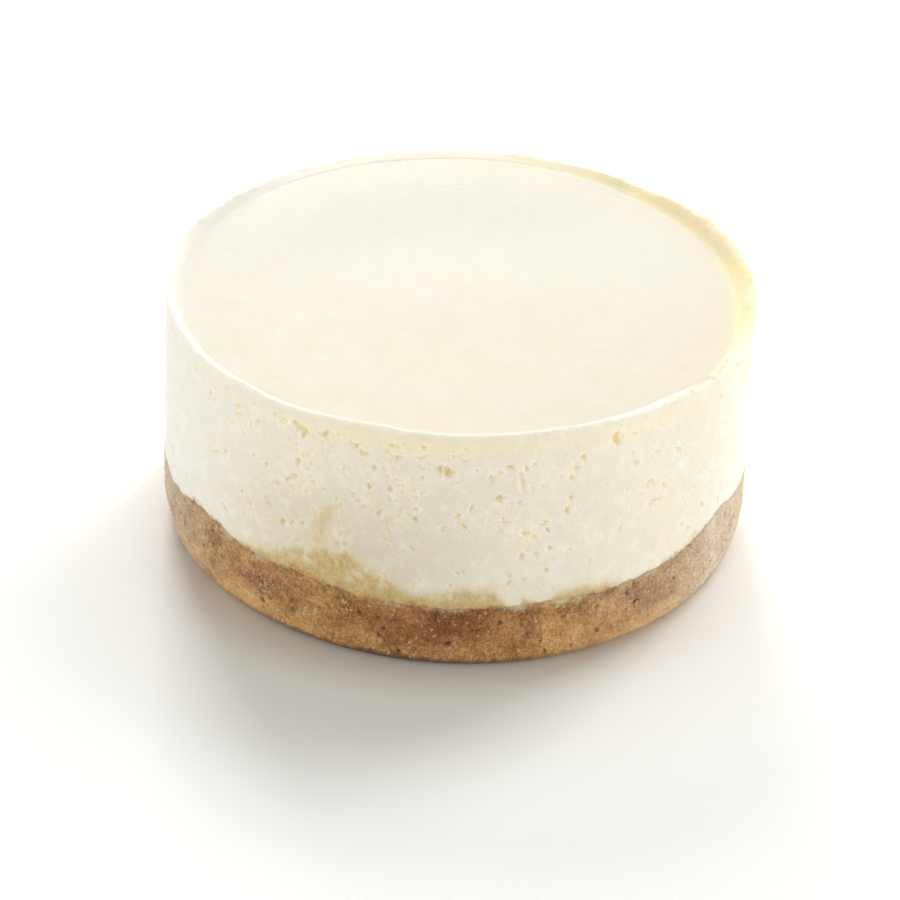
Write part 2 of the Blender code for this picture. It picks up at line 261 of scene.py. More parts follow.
def crumb_cells(points, size, seed):
    """The crumb at each point: distance to its middle, lead over the next crumb, and a number of its own."""
    place = points / size
    cell = np.floor(place).astype(np.int64)
    nearest = np.full(len(points), 9.0)
    second = nearest.copy()
    own = np.zeros(len(points))
    for step in itertools.product((-1, 0, 1), repeat=3):
        other = cell + step
        middle = other + np.stack([hashed(other, seed + axis) for axis in range(3)], axis=1)
        apart = np.linalg.norm(middle - place, axis=1)
        closer = apart < nearest
        second = np.where(closer, nearest, np.minimum(second, apart))
        own = np.where(closer, hashed(other, seed + 3), own)
        nearest = np.minimum(nearest, apart)
    return nearest, second - nearest, own


def cylinder_points(bearings, radii, heights):
    angle = np.radians(bearings)
    return np.stack([radii * np.sin(angle), -radii * np.cos(angle), heights], axis=-1)


def cad_ring(node, highest):
    """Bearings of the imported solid's facets, and its highest or lowest height near its side at each."""
    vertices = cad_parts[node].data.vertices
    points = np.empty(len(vertices) * 3)
    vertices.foreach_get("co", points)
    points = points.reshape(-1, 3)
    radius = np.hypot(points[:, 0], points[:, 1])
    bearing = np.degrees(np.arctan2(points[:, 0], -points[:, 1]))
    step = 360 / CAD_FACETS
    facet = np.round(bearing / step).astype(int) % CAD_FACETS
    at_side = (radius > CAKE_RADIUS - 2 * LIP_ROUNDING) & (np.abs(wrapped(bearing - facet * step)) < 0.05)
    heights = []
    for index in range(CAD_FACETS):
        here = points[at_side & (facet == index), 2]
        heights.append(here.max() if highest else here.min())
    return np.arange(CAD_FACETS) * step, np.array(heights)


LIP_BEARINGS, LIP_HEIGHTS = cad_ring("cheese_filling", True)
SEAM_BEARINGS, SEAM_HEIGHTS = cad_ring("cheese_filling", False)


def lip_height(bearings):
    """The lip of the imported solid, with its steps softened."""
    turns = (-LIP_SOFTENING_DEGREES, 0, LIP_SOFTENING_DEGREES)
    heights = [np.interp(bearings + turn, LIP_BEARINGS, LIP_HEIGHTS, period=360) for turn in turns]
    return sum(heights) / len(turns)


def seam_height(bearings):
    """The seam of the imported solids, with a finer rag."""
    smooth = np.interp(bearings, SEAM_BEARINGS, SEAM_HEIGHTS, period=360)
    flat = np.ravel(np.asarray(bearings, float))
    rag = layered_noise(cylinder_points(flat, CAKE_RADIUS, np.zeros(len(flat))), 1.8 * MM, SEED + 99)
    return smooth + 0.35 * MM * rag.reshape(np.shape(smooth))


def seen_or_behind(bearings, seen, behind):
    """Heights in metres: as seen at the front, given in mm, and by the rule further round."""
    front = np.interp(bearings, [place[0] for place in seen], [place[1] * MM for place in seen])
    return front + smooth_step(np.abs(wrapped(bearings)), 66, 82) * (behind - front)


def edge_height(bearings):
    """The top of the brown of the base, a little below the seam."""
    return seen_or_behind(bearings, SEEN_EDGE, seam_height(bearings) - 0.9 * MM)


def soak_height(bearings):
    """The top of the filling that is soaked from the base."""
    behind = seam_height(bearings) + (swell(bearings, SOAK_BEHIND) - 0.5) * MM
    return seen_or_behind(bearings, SEEN_SOAK, behind)


def top_lean(bearings, radii):
    """The whole top leans a little: low at the front, high at the back."""
    return -TOP_TILT * np.cos(np.radians(bearings - TOP_TILT_BEARING)) * radii / CAKE_RADIUS


class TurnedMesh:
    """A round solid made of rings, each with its own count of points, joined from the first to the last."""

    def __init__(self):
        self.rings = []
        self.start = 0

    def add_ring(self, count, radius, height, **marks):
        """Adds a ring. Radius, height and each mark are a number or a function of the bearings."""
        if count == 1:
            turn = np.zeros(1)
        else:
            turn = np.linspace(-np.pi, np.pi, count, endpoint=False)
        bearings = np.degrees(turn - FRONT_CROWDING * np.sin(turn))
        ring = {"start": self.start, "count": count, "bearing": bearings}
        for name, value in {"radius": radius, "height": height, **marks}.items():
            value = value(bearings) if callable(value) else value
            ring[name] = np.broadcast_to(np.asarray(value, float), bearings.shape).copy()
        self.rings.append(ring)
        self.start += count

    def columns(self, *names):
        """Each of these marks for every point, ring by ring, and 0 where a ring doesn't have it."""
        for name in names:
            yield np.concatenate([ring.get(name, np.zeros(ring["count"])) for ring in self.rings])

    def faces(self):
        faces = []
        for inner, outer in zip(self.rings, self.rings[1:]):
            faces += self.join(inner, outer)
        return faces

    @staticmethod
    def join(inner, outer):
        """Joins two rings with equal counts, with twice the count on one of them, or with one point."""
        faces = []
        first, second = inner["start"], outer["start"]
        few, many = sorted((inner["count"], outer["count"]))
        for index in range(many):
            following = (index + 1) % many
            if few == many:
                faces.append((first + index, second + index, second + following, first + following))
            elif few == 1 and inner["count"] == 1:
                faces.append((first, second + index, second + following))
            elif few == 1:
                faces.append((first + index, second, first + following))
            elif inner["count"] == few:
                own, next_own = first + index // 2, first + (index // 2 + 1) % few
                faces.append((own, second + index, second + following))
                if index % 2:
                    faces.append((own, second + following, next_own))
            else:
                own, next_own = second + index // 2, second + (index // 2 + 1) % few
                faces.append((first + index, own, first + following))
                if index % 2:
                    faces.append((own, next_own, first + following))
        return faces


def mesh_object(name, points, faces, material, marks):
    """A smooth-shaded mesh object with a float attribute for each mark."""
    mesh = bpy.data.meshes.new(name)
    mesh.from_pydata([tuple(point) for point in points], [], faces)
    for mark, values in marks.items():
        attribute = mesh.attributes.new(mark, "FLOAT", "POINT")
        attribute.data.foreach_set("value", np.asarray(values, np.float32))
    mesh.materials.append(material)
    mesh.shade_smooth()
    mesh.update()
    piece = bpy.data.objects.new(name, mesh)
    bpy.context.scene.collection.objects.link(piece)
    return piece


def scattered_pores():
    """Clusters of small pores all round the side, like SEEN_PORES, thickest at the front."""
    draw = np.random.default_rng(SEED)
    pores = []
    clusters = 0
    while clusters < PORE_CLUSTERS:
        middle = draw.uniform(-180, 180)
        if draw.random() > 0.30 + 0.70 * swell(np.array([middle]), PORE_CROWDING)[0]:
            continue
        clusters += 1
        low = float(seam_height(middle)) / MM + 1.5
        high = float(lip_height(middle)) / MM - 2.0
        level = low + (high - low) * draw.random() ** 0.8
        for _ in range(draw.integers(1, 5)):
            bearing = middle + draw.normal(0, 1.3)
            height = float(np.clip(level + draw.normal(0, 0.8), low, high))
            width = 0.35 + 0.8 * draw.random() ** 2.2
            tall = width * draw.uniform(0.5, 1.0)
            amber = float(np.clip(draw.normal(0.2, 0.25), 0, 1))
            pores.append((bearing, height, width, tall, draw.uniform(-50, 50), amber))
    return pores


def carve_pores(points, bearings, heights):
    """How deep each side point is carved in metres, and its shares of pore tint, amber and torn surface. The
    pore tint is partly the pores' tan and partly painted shade, strongest under their upper edge.
    """
    carved, tone_and_shade, amber, torn = np.zeros((4, len(points)))
    ragged = 1 + 0.40 * smooth_noise(points, 0.5 * MM, SEED + 20)
    bend = 0.40 * smooth_noise(points, 1.1 * MM, SEED + 21)
    lean = 0.35 * smooth_noise(points, 0.9 * MM, SEED + 22)
    for bearing, height, width, tall, slant, yellow in (*SEEN_PORES, *scattered_pores()):
        across = np.radians(wrapped(bearings - bearing)) * CAKE_RADIUS / MM
        reach = 1.1 * width + 0.4
        near = np.nonzero((np.abs(across) < reach) & (np.abs(heights / MM - height) < reach))[0]
        across = across[near] + bend[near] * width
        above = heights[near] / MM - height + lean[near] * width
        turn = math.radians(slant)
        along = across * math.cos(turn) + above * math.sin(turn)
        upright = above * math.cos(turn) - across * math.sin(turn)
        steep = np.where(upright > 0, 2.5, 1.75) * upright / tall
        apart = np.hypot(2 * along / width, steep) * ragged[near]
        inside = fade_out(apart, 0.35, 1.1)
        carved[near] = np.maximum(carved[near], (0.14 + 0.28 * tall) * MM * inside)
        # Painted shade: the tint is strongest under the pore's upper edge
        shade = inside * min(1.0, 0.40 + 0.45 * width) * np.clip(0.75 + 0.5 * upright / tall, 0.3, 1)
        tone_and_shade[near] = np.maximum(tone_and_shade[near], shade)
        amber[near] = np.maximum(amber[near], yellow * inside)
        torn[near] = np.maximum(torn[near], fade_out(apart, 1.0, 2.6))
    return carved, tone_and_shade, amber, torn


def seam_rag(points):
    """How far the colour edge between base and filling strays from its mean height, in mm."""
    squashed = points * (1, 1, 0.6)
    broad = layered_noise(squashed, 2.2 * MM, SEED + 90)
    fine = layered_noise(squashed, 0.9 * MM, SEED + 95, 2)
    return 0.4 * broad + 0.55 * fine


def scattered_pits():
    """Small dark pits all round the base: bearing, height and width in mm."""
    draw = np.random.default_rng(SEED + 3)
    bearings = draw.uniform(-180, 180, SCATTERED_PITS)
    heights = 1.2 + draw.random(SCATTERED_PITS) * (seam_height(bearings) / MM - 1.8)
    widths = 0.3 + 0.45 * draw.random(SCATTERED_PITS) ** 2
    return list(zip(bearings, heights, widths))


def crumb_surface(points, bearings, heights):
    """The crumbly surface of the base: relief in mm, and shares for tone, pale flecks and dark holes."""
    _, large_lead, large_own = crumb_cells(points, 2.3 * MM, SEED + 40)
    _, mid_lead, mid_own = crumb_cells(points, 1.0 * MM, SEED + 50)
    fine_apart, _, fine_own = crumb_cells(points, 0.52 * MM, SEED + 60)
    relief = 0.12 * (large_own - 0.5) * smooth_step(large_lead, 0, 0.40)
    relief += 0.14 * (mid_own - 0.5) * smooth_step(mid_lead, 0, 0.35)
    relief += 0.20 * (0.5 - fine_apart) * (0.4 + fine_own)
    relief += 0.07 * smooth_noise(points, 3.2 * MM, SEED + 70)
    gap = fade_out(mid_lead, 0.02, 0.14) * smooth_step(large_own, 0.45, 0.8)
    relief -= 0.07 * gap
    hole = np.zeros(len(points))
    ragged = 1 + 0.5 * smooth_noise(points, 0.4 * MM, SEED + 75)
    for bearing, height, width in (*SEEN_PITS, *scattered_pits()):
        across = np.radians(wrapped(bearings - bearing)) * CAKE_RADIUS / MM
        near = np.nonzero((np.abs(across) < width) & (np.abs(heights / MM - height) < width))[0]
        reach = np.hypot(across[near], heights[near] / MM - height) * ragged[near] * 2 / width
        hole[near] = np.maximum(hole[near], fade_out(reach, 0.45, 1.15) * min(1.0, 0.25 + width))
    relief -= 0.24 * hole
    tone = 0.40 * large_own + 0.35 * mid_own + 0.25 * fine_own
    fleck = smooth_step(fine_own, 0.90, 0.97) * fade_out(fine_apart, 0.25, 0.5)
    return relief, tone, fleck, np.clip(hole + 0.45 * gap, 0, 1)


def rim_width(bearings):
    return RIM_WIDTH * (1 + swell(bearings, RIM_SWELLS))


def plateau_height(bearings, radii):
    """The dished top: sunk below the lip, least at the back left, where it rises to meet the lip."""
    near_rim = smooth_step(radii, 0.012, 0.033)
    sunk = 1 + swell(bearings, SUNK_SHARES) * near_rim
    return MEAN_HEIGHT - RIM_DROP * sunk + top_lean(bearings, radii)


def add_top_rings(turned):
    """The dished top, from its middle to the rim's inner foot."""
    for count, radii in TOP_RINGS:
        for radius in radii:
            turned.add_ring(count, radius, lambda b, r=radius: plateau_height(b, r), skin=1.0)
    for gap in GAPS_BEFORE_RIM:

        def radius_here(bearings, gap=gap):
            return CAKE_RADIUS - rim_width(bearings) - gap * MM

        def height_here(bearings, radius=radius_here):
            return plateau_height(bearings, radius(bearings))

        turned.add_ring(LAST_TOP_RING_POINTS, radius_here, height_here, skin=1.0)


def add_rim_rings(turned):
    """The rim, rising from its inner foot to the lip, and the small round of the lip."""
    crest = CAKE_RADIUS - LIP_SOFTNESS
    for step in range(RIM_RINGS):
        share = step / RIM_RINGS
        rise = smooth_step(share, -0.02, 1.0) ** 0.85

        def radius_here(bearings, share=share):
            foot = CAKE_RADIUS - rim_width(bearings)
            return foot + share * (crest - foot)

        def height_here(bearings, rise=rise):
            low = plateau_height(bearings, CAKE_RADIUS)
            return low + rise * (lip_height(bearings) - low)

        turned.add_ring(FILLING_SEGMENTS, radius_here, height_here, skin=1 - share, rim=share)
    for step in range(LIP_ARC_RINGS):
        share = step / LIP_ARC_RINGS
        angle = math.pi / 2 * (1 - share)
        drop = LIP_SOFTNESS * (1 - math.sin(angle))
        radius = crest + LIP_SOFTNESS * math.cos(angle)
        turned.add_ring(FILLING_SEGMENTS, radius, lambda b, d=drop: lip_height(b) - d, rim=1.0, side=share)


def add_side_rings(turned):
    """The straight side, from the lip down to the seam."""
    for row in range(SIDE_ROWS + 1):
        share = row / SIDE_ROWS

        def height_here(bearings, share=share):
            shoulder = lip_height(bearings) - LIP_SOFTNESS
            return shoulder + share * (seam_height(bearings) - shoulder)

        turned.add_ring(FILLING_SEGMENTS, CAKE_RADIUS, height_here, side=1.0)


def add_filling_underside(turned):
    inset = CAKE_RADIUS - 0.9 * MM
    turned.add_ring(FILLING_SEGMENTS, inset, lambda b: seam_height(b) - 0.5 * MM, side=1.0, under=1.0)
    for count, radius in FILLING_UNDERSIDE_RINGS:
        turned.add_ring(count, radius, SEAM_HEIGHT - 0.4 * MM, under=1.0)


def tongue_share(points, bearings, heights):
    """The soaked tongue at the front left, a soft stroke with a torn edge."""
    torn = 0.45 * MM * layered_noise(points, 1.5 * MM, SEED + 33)
    along = np.linspace(0, len(SOAKED_TONGUE) - 1, TONGUE_STEPS)
    stroke = [np.interp(along, range(len(SOAKED_TONGUE)), column) for column in zip(*SOAKED_TONGUE)]
    tongue = np.zeros(len(points))
    for bearing, height, radius in zip(*stroke):
        across = np.radians(wrapped(bearings - bearing)) * CAKE_RADIUS
        apart = np.hypot(across, heights - height * MM) + torn
        tongue = np.maximum(tongue, fade_out(apart, 0.0, 1.35 * radius * MM))
    return tongue


def soaked_share(points, bearings, heights):
    """Where the filling is soaked with crumbs just above the base: 1 at the seam, 0 in clean filling."""
    edge, top = edge_height(bearings), soak_height(bearings)
    ragged = 0.95 * MM * layered_noise(points * (1, 1, 0.45), 1.3 * MM, SEED + 30, 4)
    share = fade_out(heights - top + ragged, -2.0 * MM, 0.8 * MM)
    share *= 0.35 + 0.65 * smooth_step(top - edge, 0.2 * MM, 1.5 * MM)
    bits = smooth_step(layered_noise(points, 1.1 * MM, SEED + 31), -0.1, 0.7)
    share *= 1 - 0.45 * bits * smooth_step(heights - edge, 0.6 * MM, 2.4 * MM)
    return np.maximum(share, (0.74 - 0.2 * bits) * tongue_share(points, bearings, heights))


def lip_lumps(points):
    """The crumbs of a crumbling lip: fine bits, small and large lumps, and gaps between the large ones."""
    bits = layered_noise(points, 1.3 * MM, SEED)
    apart, lead, own = crumb_cells(points, 1.45 * MM, SEED + 15)
    large = fade_out(apart, 0.0, 0.8) * (0.3 + 0.7 * own)
    gaps = fade_out(lead, 0.02, 0.22)
    apart, _, own = crumb_cells(points, 0.85 * MM, SEED + 17)
    small = fade_out(apart, 0.0, 0.8) * own
    return bits, small, large, gaps


def lip_glow_share(points, bearings, drop, side):
    """The yellowish band under the lip, a painted glow of light shining through the lip."""
    ragged_drop = drop + 0.9 * MM * layered_noise(points, 3 * MM, SEED + 12)
    painted_lip_glow = side * swell(bearings, LIP_GLOW_SWELLS) * smooth_step(drop, 0.6 * MM, 1.6 * MM)
    return painted_lip_glow * fade_out(ragged_drop, 1.6 * MM, 4.8 * MM)


def gold_share(points, bearings, radii, drop, rim, side):
    """The golden browning of the rim, from its inner foot to near its edge."""
    past_foot = (radii - CAKE_RADIUS + rim_width(bearings)) / MM
    past_foot += 0.4 * layered_noise(points, 2.0 * MM, SEED + 17)
    ragged_rim = rim + 0.22 * layered_noise(points, 2.0 * MM, SEED + 18)
    reach = swell(bearings, GOLD_REACH_SWELLS)
    gold = swell(bearings, GOLD_SWELLS) * smooth_step(past_foot, -0.7, 0.3)
    gold *= fade_out(ragged_rim - reach, 0.72, 1.10)
    return gold * (1 - smooth_step(drop - reach * MM, 0.0, 0.5 * MM) * side)


def lip_highlight_share(points, bearings, drop, rim):
    """The white edge of the lip, a painted highlight where the lip catches the light."""
    ragged_drop = drop + 0.35 * MM * layered_noise(points, 1.2 * MM, SEED + 19)
    crest = swell(bearings, LIP_HIGHLIGHT_SWELLS) * smooth_step(rim, 0.7, 1.0)
    return crest * fade_out(ragged_drop, 0.2 * MM, 1.0 * MM)


def skin_share(bearings, radii, skin, side):
    """The baked skin of the top, which runs up over the rim at the back left."""
    over_rim = swell(bearings, FAR_SKIN_SWELLS) * smooth_step(radii, 0.033, 0.035) * (1 - side)
    return np.maximum(skin, np.minimum(over_rim, 1))


def crumb_tones(bearings):
    """Slow changes of the crumb's brown, and painted grazing light that makes the crust paler at its side
    edges.
    """
    return {
        "redder": swell(bearings, REDDER_SWELLS),
        "golden": swell(bearings, GOLDEN_SWELLS),
        "painted_grazing_light": swell(bearings, PAINTED_GRAZING_LIGHT_SWELLS),
    }


def cream_tones(bearings, radii, heights, rim):
    """Slow changes of the filling's tone, and painted light and shade: whiter sides at the left and right, a
    greyer patch at the front left, a lighter gold on the rim's shaded inner wall, and a warmer ring inside
    the rim that is partly painted shade of the rim.
    """
    # warmer near the rim: partly own tone, partly painted warm shade of the rim
    warm_tone_and_rim_shade = swell(bearings, WARM_TONE_AND_RIM_SHADE_SWELLS) * smooth_step(radii, 0.0300, 0.0375)
    # painted light: whiter at the left and right of the side
    painted_side_light = swell(bearings, PAINTED_SIDE_LIGHT_SWELLS)
    high_right = smooth_step(bearings, 60, 80) * smooth_step(heights, 25 * MM, 31 * MM)
    return {
        "warm_tone_and_rim_shade": warm_tone_and_rim_shade * fade_out(rim, 0.2, 0.9),
        # painted shade: a greyer patch at the front left of the side
        "painted_side_shade": swell(bearings, PAINTED_SIDE_SHADE_SWELLS) * fade_out(heights, 16 * MM, 29 * MM),
        "painted_side_light": painted_side_light * (1 - high_right),
        # painted light: a lighter gold on the rim's shaded inner wall
        "painted_light_gold": swell(bearings, PAINTED_LIGHT_GOLD_SWELLS),
    }


def filling_rings():
    turned = TurnedMesh()
    add_top_rings(turned)
    add_rim_rings(turned)
    add_side_rings(turned)
    add_filling_underside(turned)
    return turned


def make_filling(material):
    """Rings moved by lumps, pores, torn surface and crumbs, with marks for their tones."""
    turned = filling_rings()
    found = turned.columns("bearing", "radius", "height", "skin", "rim", "side", "under")
    bearings, radii, heights, skin, rim, side, under = found
    points = cylinder_points(bearings, radii, heights)
    seen_side = side * (1 - under)
    drop = lip_height(bearings) - heights
    at_lip = fade_out(side * drop, 0, 2.2 * MM)

    crumble = swell(bearings, CRUMBLE_SWELLS)
    bits, small_lumps, lumps, lump_gaps = lip_lumps(points)
    heap = 0.45 * lumps + 0.34 * small_lumps + 0.20 * bits
    lift = at_lip * rim**2 * (0.18 * bits + crumble * heap) * MM
    lift += skin * 0.05 * MM * layered_noise(points, 9 * MM, SEED + 3)
    outward = seen_side * 0.16 * MM * layered_noise(points, 13 * MM, SEED + 6)
    outward += seen_side * 0.08 * MM * layered_noise(points, 1.6 * MM, SEED + 8)
    outward += at_lip * side * crumble * MM * (0.22 * lumps + 0.10 * small_lumps)

    pore_tone_and_shade, amber, torn = np.zeros((3, len(points)))
    here = np.nonzero((side == 1) & (under == 0))[0]
    carved, pore_tone_and_shade[here], amber[here], torn[here] = carve_pores(points[here], bearings[here], heights[here])
    outward[here] -= carved
    outward += torn * 0.12 * MM * smooth_noise(points, 0.6 * MM, SEED + 24)
    # Painted shade: amber in the gaps between the lip's lumps
    amber = np.maximum(amber, 0.75 * crumble * rim * at_lip * lump_gaps)
    soak = soaked_share(points, bearings, heights) * seen_side
    outward += soak * 0.06 * MM * layered_noise(points, 0.8 * MM, SEED + 35, 2)

    relief, tone, fleck, hole = np.zeros((4, len(points)))
    here = np.nonzero((side == 1) & (heights - edge_height(bearings) < 2.5 * MM))[0]
    crumbs = crumb_surface(points[here], bearings[here], heights[here])
    relief[here], tone[here], fleck[here], hole[here] = crumbs
    above = heights - edge_height(bearings) + seam_rag(points) * MM
    outward += seen_side * fade_out(above, -0.2 * MM, 1.0 * MM) * relief * MM

    moved = cylinder_points(bearings, radii + outward, heights + lift)
    marks = {
        "pore_tone_and_shade": pore_tone_and_shade, "amber": amber, "torn": torn, "soak": soak, "above_seam": above / MM,
        "tone": tone, "fleck": fleck, "hole": hole, "height": heights / MM,
        "skin": skin_share(bearings, radii, skin, side),
        "painted_lip_glow": lip_glow_share(points, bearings, drop, side),
        "gold": gold_share(points, bearings, radii, drop, rim, side),
        # A painted highlight on the edge of the lip
        "crest": lip_highlight_share(points, bearings, drop, rim),
        "behind": smooth_step(moved[:, 1], -0.022, 0.012),
        **cream_tones(bearings, radii, heights, rim),
        **crumb_tones(bearings),
    }
    piece = mesh_object("filling", moved, turned.faces(), material, marks)
    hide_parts("cheese_filling")
    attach(piece, "root")


def base_side_radius(heights):
    """The base flares from its foot to its full radius, and ends just inside the filling's side."""
    share = np.minimum(heights / FOOT_HEIGHT, 1.0)
    return FOOT_RADIUS + (BASE_RADIUS - FOOT_RADIUS) * np.sin(share * np.pi / 2)


def foot_spread(bearings, heights):
    """The foot is a little wider at the front."""
    return swell(bearings, FOOT_SWELLS) * fade_out(heights, 0, FOOT_HEIGHT)


def add_base_top(turned):
    """The hidden top of the base, from its middle to just under the seam."""
    for count, radius in BASE_TOP_RINGS:
        turned.add_ring(count, radius, SEAM_HEIGHT - 0.8 * MM)
    turned.add_ring(BASE_SEGMENTS, 0.0385, lambda b: seam_height(b) - 0.7 * MM)
    turned.add_ring(BASE_SEGMENTS, 0.0394, lambda b: seam_height(b) - 0.1 * MM)


def add_base_wall(turned):
    """The crumbly side of the base, down to its foot."""
    for row in range(BASE_ROWS + 1):
        share = row / BASE_ROWS

        def height_here(bearings, share=share):
            high = seam_height(bearings) + 0.15 * MM
            return high + share * (FOOT_ROUND_HEIGHT - high)

        def radius_here(bearings, height=height_here):
            heights = height(bearings)
            tuck = smooth_step(heights - seam_height(bearings), -0.35 * MM, 0.15 * MM)
            return base_side_radius(heights) - 0.30 * MM * tuck

        turned.add_ring(BASE_SEGMENTS, radius_here, height_here, wall=1.0)


def add_base_foot(turned):
    """The rounded foot and the flat underside."""
    for step in range(1, FOOT_ARC_RINGS + 1):
        share = step / FOOT_ARC_RINGS
        angle = math.pi / 2 * share
        radius = base_side_radius(FOOT_ROUND_HEIGHT) - FOOT_ROUND_DEPTH * (1 - math.cos(angle))
        turned.add_ring(BASE_SEGMENTS, radius, FOOT_ROUND_HEIGHT * (1 - math.sin(angle)), wall=1 - share)
    for count, radius in BASE_UNDERSIDE_RINGS:
        turned.add_ring(count, radius, 0.0)


def make_base(material):
    turned = TurnedMesh()
    add_base_top(turned)
    add_base_wall(turned)
    add_base_foot(turned)
    bearings, radii, heights, wall = turned.columns("bearing", "radius", "height", "wall")
    points = cylinder_points(bearings, radii, heights)
    relief, tone, fleck, hole = crumb_surface(points, bearings, heights)
    above = heights - edge_height(bearings) + seam_rag(points) * MM
    crumby = fade_out(above, -0.2 * MM, 1.0 * MM)
    outward = wall * relief * MM * (0.3 + 0.7 * crumby)
    outward += foot_spread(bearings, heights)
    moved = cylinder_points(bearings, radii + outward, heights)
    ragged_height = heights + 0.25 * MM * smooth_noise(moved, 0.9 * MM, SEED + 78)
    marks = {
        "above_seam": above / MM, "tone": tone, "fleck": fleck, "hole": hole, "height": heights / MM,
        # Painted shade along the underside of the foot
        "painted_foot_shade": swell(bearings, PAINTED_FOOT_SHADE_SWELLS) * fade_out(ragged_height, 0.5 * MM, 1.3 * MM),
        **crumb_tones(bearings),
    }
    piece = mesh_object("crumb_base", moved, turned.faces(), material, marks)
    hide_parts("biscuit_base")
    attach(piece, "root")


def linear_colour(colour):
    """A colour of three numbers from 0 to 255, in linear light."""
    values = []
    for value in colour:
        share = value / 255
        values.append(share / 12.92 if share <= 0.04045 else ((share + 0.055) / 1.055) ** 2.4)
    return (*values, 1.0)


class NodeSheet:
    """Adds shader nodes to a material and links them."""

    def __init__(self, name):
        self.material = bpy.data.materials.new(name)
        self.material.use_nodes = True
        self.tree = self.material.node_tree
        self.shader = self.tree.nodes["Principled BSDF"]
        self.place = self.add("ShaderNodeTexCoord").outputs["Object"]

    def add(self, kind, inputs=None, **settings):
        node = self.tree.nodes.new(kind)
        for name, value in settings.items():
            setattr(node, name, value)
        for name, value in (inputs or {}).items():
            self.put(node.inputs[name], value)
        return node

    def put(self, socket, value):
        if isinstance(value, bpy.types.NodeSocket):
            self.tree.links.new(value, socket)
        else:
            socket.default_value = value

    def mark(self, name):
        return self.add("ShaderNodeAttribute", attribute_name=name).outputs["Fac"]

    def math(self, operation, first, second, clamp=False):
        node = self.add("ShaderNodeMath", {0: first, 1: second}, operation=operation, use_clamp=clamp)
        return node.outputs[0]

    def times(self, first, second, clamp=False):
        return self.math("MULTIPLY", first, second, clamp)

    def spread(self, value, low, high, out_low=0.0, out_high=1.0):
        """The value stretched from low and high to the two out values, and held between them."""
        inputs = {"Value": value, "From Min": low, "From Max": high, "To Min": out_low, "To Max": out_high}
        return self.add("ShaderNodeMapRange", inputs).outputs["Result"]

    def mix(self, share, first, second):
        """Mixes two colours, each of them a socket or three numbers from 0 to 255."""
        colours = [linear_colour(value) if isinstance(value, tuple) else value for value in (first, second)]
        inputs = {0: share, 6: colours[0], 7: colours[1]}
        return self.add("ShaderNodeMix", inputs, data_type="RGBA").outputs[2]

    def noise(self, size, detail, roughness=0.5, offset=0.0, squash=1.0):
        """Noise from 0 to 1 with swells of about this size in metres, drawn out upwards by a low squash."""
        inputs = {0: self.place, 1: (1, 1, squash), 2: (offset, offset, offset)}
        place = self.add("ShaderNodeVectorMath", inputs, operation="MULTIPLY_ADD").outputs[0]
        inputs = {"Vector": place, "Scale": 1 / size, "Detail": detail, "Roughness": roughness}
        return self.add("ShaderNodeTexNoise", inputs).outputs["Fac"]

    def cells(self, size):
        """Distance to the middle of the nearest cell, for cells of about this size in metres."""
        inputs = {"Vector": self.place, "Scale": 1 / size}
        return self.add("ShaderNodeTexVoronoi", inputs).outputs["Distance"]

    def bump(self, height, distance, strength):
        node = self.add("ShaderNodeBump", {"Height": height, "Distance": distance, "Strength": strength})
        self.put(self.shader.inputs["Normal"], node.outputs["Normal"])

    def set(self, **values):
        for name, value in values.items():
            self.put(self.shader.inputs[name.replace("_", " ")], value)


def crumb_colour(sheet):
    """The brown of the baked crumb: redder in places, golden near the foot, with flecks and dark pits. It is
    painted paler where light grazes its side edges, and a painted shade darkens the underside of the foot.
    """
    grain = sheet.noise(0.00040, 3, 0.75)
    clump = sheet.noise(0.0014, 3, 0.65, offset=0.6)
    patch = sheet.noise(0.0045, 3, 0.6, offset=0.2)
    tone = sheet.spread(sheet.mark("tone"), 0.2, 0.8, 0.35, 0.65)
    value = sheet.math("ADD", tone, sheet.spread(grain, 0.32, 0.68, -0.52, 0.52))
    value = sheet.math("ADD", value, sheet.spread(patch, 0.3, 0.7, -0.25, 0.25))
    value = sheet.math("ADD", value, sheet.spread(clump, 0.3, 0.7, -0.20, 0.20), clamp=True)
    colour = sheet.mix(value, (146, 94, 48), (222, 170, 108))
    low = sheet.spread(sheet.mark("height"), 6.0, 0.5, 0.0, 0.8)
    golden = sheet.math("ADD", low, sheet.spread(patch, 0.40, 0.70, 0.0, 0.7), clamp=True)
    golden = sheet.times(golden, sheet.spread(sheet.mark("golden"), 0.0, 1.0, 0.40, 1.0))
    colour = sheet.mix(golden, colour, sheet.mix(value, (216, 148, 80), (255, 208, 136)))
    middle = sheet.times(sheet.spread(sheet.mark("height"), 2.2, 4.4), sheet.mark("redder"))
    redder = sheet.times(middle, sheet.spread(patch, 0.65, 0.35, 0.45, 1.0), clamp=True)
    colour = sheet.mix(redder, colour, sheet.mix(value, (118, 62, 30), (186, 118, 64)))
    # Painted grazing light: paler crust towards the side edges
    painted_grazing_light = sheet.math("MINIMUM", sheet.mark("painted_grazing_light"), 1.0)
    painted_grazing_light = sheet.times(painted_grazing_light, sheet.spread(clump, 0.3, 0.7, 0.6, 1.0))
    colour = sheet.mix(painted_grazing_light, colour, sheet.mix(value, (230, 204, 174), (255, 244, 228)))
    colour = sheet.mix(sheet.times(sheet.mark("fleck"), 0.60), colour, (244, 220, 172))
    # Painted shade: darker along the underside of the foot
    colour = sheet.mix(sheet.times(sheet.mark("painted_foot_shade"), 0.85), colour, (84, 52, 28))
    return sheet.mix(sheet.times(sheet.mark("hole"), 0.70), colour, (86, 42, 18))


